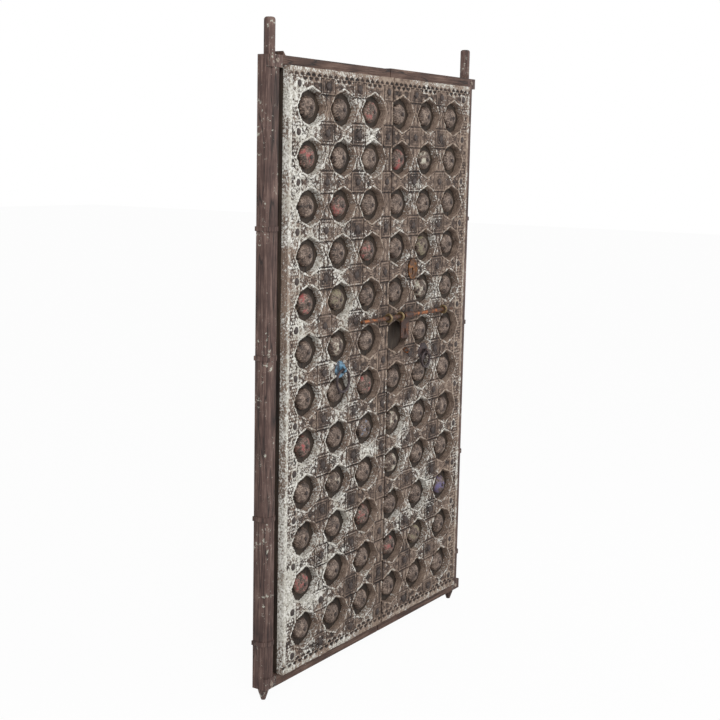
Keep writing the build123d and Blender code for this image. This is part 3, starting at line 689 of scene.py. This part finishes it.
def turn_bosses(name, numbers, node):
    points, faces, kept, colours = [], [], [], []
    chance = np.random.default_rng(11)
    angle = np.linspace(0, 2 * np.pi, segments, endpoint=False)[None, :]
    for column in numbers:
        for row in range(1, rows + 1):
            if (column, row) == lost_boss:
                continue
            start = sum(len(p) for p in points)
            t = np.linspace(0, 1, rings)[:, None]
            radius = boss_radius * np.cos(t * np.pi / 2 * 0.965) + 0 * angle
            rise = boss_height * np.sin(t * np.pi / 2) ** 0.85 + 0 * angle
            flute = 1 + 0.022 * np.cos(chance.integers(8, 12) * angle) * np.sin(np.pi * t)
            x0, z0 = columns[column - 1], row_heights[rows - row]
            x, z = radius * flute * np.cos(angle), radius * flute * np.sin(angle)
            dent = 2.4 * MM * wear(x + x0, z + z0, 0.012) + 1.2 * MM * wear(x + x0, z + z0, 0.004)
            y = board_front - np.clip(rise - dent * np.sin(np.pi * t / 2), 0, boss_height)
            ring_points = np.stack([x + x0, y, z + z0], axis=2).reshape(-1, 3)
            tip = np.array([[x0, board_front - boss_height + 1.5 * MM, z0], [x0, board_front, z0]])
            points.append(np.concatenate([ring_points, tip]))
            for i in range(rings - 1):
                for j in range(segments):
                    a, b = start + i * segments + j, start + i * segments + (j + 1) % segments
                    faces.append((a, b, b + segments, a + segments))
            for j in range(segments):
                a, b = (rings - 1) * segments + j, (rings - 1) * segments + (j + 1) % segments
                faces.append((start + a, start + b, start + rings * segments))
                faces.append((start + (j + 1) % segments, start + j, start + rings * segments + 1))
            colour = faded.get(coats.get((column, row)), plain_coat)
            amount = 0.50 if (column, row) in coats else 0.3
            kept += [amount + 0.12 * (chance.random() - 0.5)] * (rings * segments + 2)
            colours += [linear(colour)] * (rings * segments + 2)
    mesh = bpy.data.meshes.new(name)
    mesh.from_pydata(np.concatenate(points).tolist(), [], faces)
    mesh.attributes.new("paint", "FLOAT", "POINT").data.foreach_set("value", kept)
    mesh.attributes.new("coat", "FLOAT_COLOR", "POINT").data.foreach_set("color", np.ravel(colours))
    mesh.materials.append(boss_wood)
    mesh.polygons.foreach_set("use_smooth", [True] * len(mesh.polygons))
    piece = bpy.data.objects.new(name, mesh)
    bpy.context.collection.objects.link(piece)
    print(name, "faces", len(faces))
    return dress(piece, "boss_wood", node)


turn_bosses("left_bosses_turned", (1, 2, 3), "left_bosses")
turn_bosses("right_bosses_turned", (4, 5, 6), "right_bosses")

# %% [markdown]
# Nails repeat by the hundred, so Geometry Nodes set them. A point stands where each nail
# goes; the tree puts a small hammered dome on it, turned and sized at random, and ends with
# real faces, because the export drops instances. The result is made a plain mesh.

# %% Tree for hammered nails
def nail_tree():
    tree = bpy.data.node_groups.new("hammered_nails", "GeometryNodeTree")
    face = tree.interface
    face.new_socket("Geometry", in_out="INPUT", socket_type="NodeSocketGeometry")
    face.new_socket("Radius", in_out="INPUT", socket_type="NodeSocketFloat")
    face.new_socket("Height", in_out="INPUT", socket_type="NodeSocketFloat")
    face.new_socket("Seed", in_out="INPUT", socket_type="NodeSocketInt")
    face.new_socket("Iron", in_out="INPUT", socket_type="NodeSocketMaterial")
    face.new_socket("Geometry", in_out="OUTPUT", socket_type="NodeSocketGeometry")
    given = put(tree, "NodeGroupInput").outputs
    dome = put(tree, "GeometryNodeMeshUVSphere", {"Segments": 12, "Rings": 8, "Radius": 1.0})
    size = put(tree, "ShaderNodeCombineXYZ", {"X": given["Radius"], "Y": given["Radius"], "Z": given["Height"]})
    upright = (math.pi / 2, 0, 0)
    flat = put(tree, "GeometryNodeTransform", {"Geometry": dome.outputs["Mesh"], "Scale": size.outputs[0]})
    facing = put(tree, "GeometryNodeTransform", {"Geometry": flat.outputs[0], "Rotation": upright})
    tilts = {0: (-0.05, 0, -0.05), 1: (0.05, 6.28, 0.05), "Seed": given["Seed"]}
    turn = put(tree, "FunctionNodeRandomValue", tilts, data_type="FLOAT_VECTOR")
    grow = put(tree, "FunctionNodeRandomValue", {2: 0.9, 3: 1.0, "Seed": given["Seed"]})
    links = {"Points": given["Geometry"], "Instance": facing.outputs[0]}
    links.update({"Rotation": turn.outputs[0], "Scale": grow.outputs[1]})
    set_in = put(tree, "GeometryNodeInstanceOnPoints", links)
    real = put(tree, "GeometryNodeRealizeInstances", {"Geometry": set_in.outputs[0]})
    dent = put(tree, "ShaderNodeTexNoise", {"Scale": 180.0, "Detail": 2.0})
    depth = put(tree, "ShaderNodeMath", {0: dent.outputs[0], 1: 0.72}, operation="SUBTRACT")
    depth = put(tree, "ShaderNodeMath", {0: depth.outputs[0], 1: 3.2 * MM}, operation="MULTIPLY").outputs[0]
    normal = put(tree, "GeometryNodeInputNormal")
    push = put(tree, "ShaderNodeVectorMath", {0: normal.outputs[0], "Scale": depth}, operation="SCALE")
    beaten = put(tree, "GeometryNodeSetPosition", {"Geometry": real.outputs[0], "Offset": push.outputs[0]})
    smooth = put(tree, "GeometryNodeSetShadeSmooth", {"Geometry": beaten.outputs[0]})
    iron = put(tree, "GeometryNodeSetMaterial", {"Geometry": smooth.outputs[0], "Material": given["Iron"]})
    put(tree, "NodeGroupOutput", {"Geometry": iron.outputs[0]})
    return tree


hammered = nail_tree()
print("nail tree", len(hammered.nodes), "nodes")


# %% [markdown]
# Two sizes were forged: wide heads that hold the lattice to the boards, and small ones
# that pin each boss. Both use the one tree, with their own radius, height and seed.

# %% Set the nails
def set_nails(name, spots, radius, height, seed, *hidden):
    mesh = bpy.data.meshes.new(name + "_points")
    mesh.from_pydata(spots, [], [])
    seeds = bpy.data.objects.new(name + "_points", mesh)
    bpy.context.collection.objects.link(seeds)
    modifier = seeds.modifiers.new("nails", "NODES")
    modifier.node_group = hammered
    for item in hammered.interface.items_tree:
        value = {"Radius": radius, "Height": height, "Seed": seed, "Iron": nail_iron}.get(item.name)
        if value is not None:
            modifier[item.identifier] = value
    graph = bpy.context.evaluated_depsgraph_get()
    plain = bpy.data.meshes.new_from_object(seeds.evaluated_get(graph))
    bpy.data.objects.remove(seeds)
    plain.name = name
    piece = bpy.data.objects.new(name, plain)
    bpy.context.collection.objects.link(piece)
    print(name, len(spots), "nails", len(plain.polygons), "faces")
    return dress(piece, "nail_iron", *hidden)


nail_lines = [plan[1] for plan in upright_plan]
bare_spots = [(3, 7), (4, 8)]
lattice_spots = [
    (x, bar_front + 0.5 * MM, z)
    for i, x in enumerate(nail_lines) for k, z in enumerate(crossings) if (i, k) not in bare_spots
]
hidden_nails = ("left_lattice_nails", "right_lattice_nails")
set_nails("lattice_nails_hammered", lattice_spots, 13.5 * MM, 5.5 * MM, 3, *hidden_nails)
boss_spots = [
    (x, board_front - boss_height + 1.0 * MM, row_heights[rows - row])
    for i, x in enumerate(columns) for row in range(1, rows + 1) if (i + 1, row) != lost_boss
]
set_nails("boss_nails_hammered", boss_spots, 8 * MM, 4.5 * MM, 5, "boss_nails")

# %% [markdown]
# The posts, rails, boards and ironwork have the right shape in the frame already. They keep
# their solids and get their finishes here, each with its grain along its own length.

# %% Finishes for the frame's own solids
finishes = {
    "hinge_stile": post_wood, "top_rail": rail_wood, "bottom_rail": rail_wood, "back_ledge": rail_wood,
    "board_1": shaded_plank_wood, "board_2": shaded_plank_wood, "tenon_pegs": peg_wood, "bolt_rod": rod_iron,
    "bolt_rings": ring_iron, "hasp_staple": rod_iron, "hasp": hasp_iron, "keyhole_plate": key_iron,
    "left_pull_plate": blue_iron, "right_pull_plate": pull_iron, "pull_ring": pull_iron,
    "upright": upright_wood, "cross_bar": cross_wood, "bosses": boss_wood, "nails": nail_iron,
}
for name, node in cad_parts.items():
    match = max((key for key in finishes if key in name), key=len)
    node.data.materials.clear()
    node.data.materials.append(finishes[match])
print("finished", len(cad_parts), "solids")
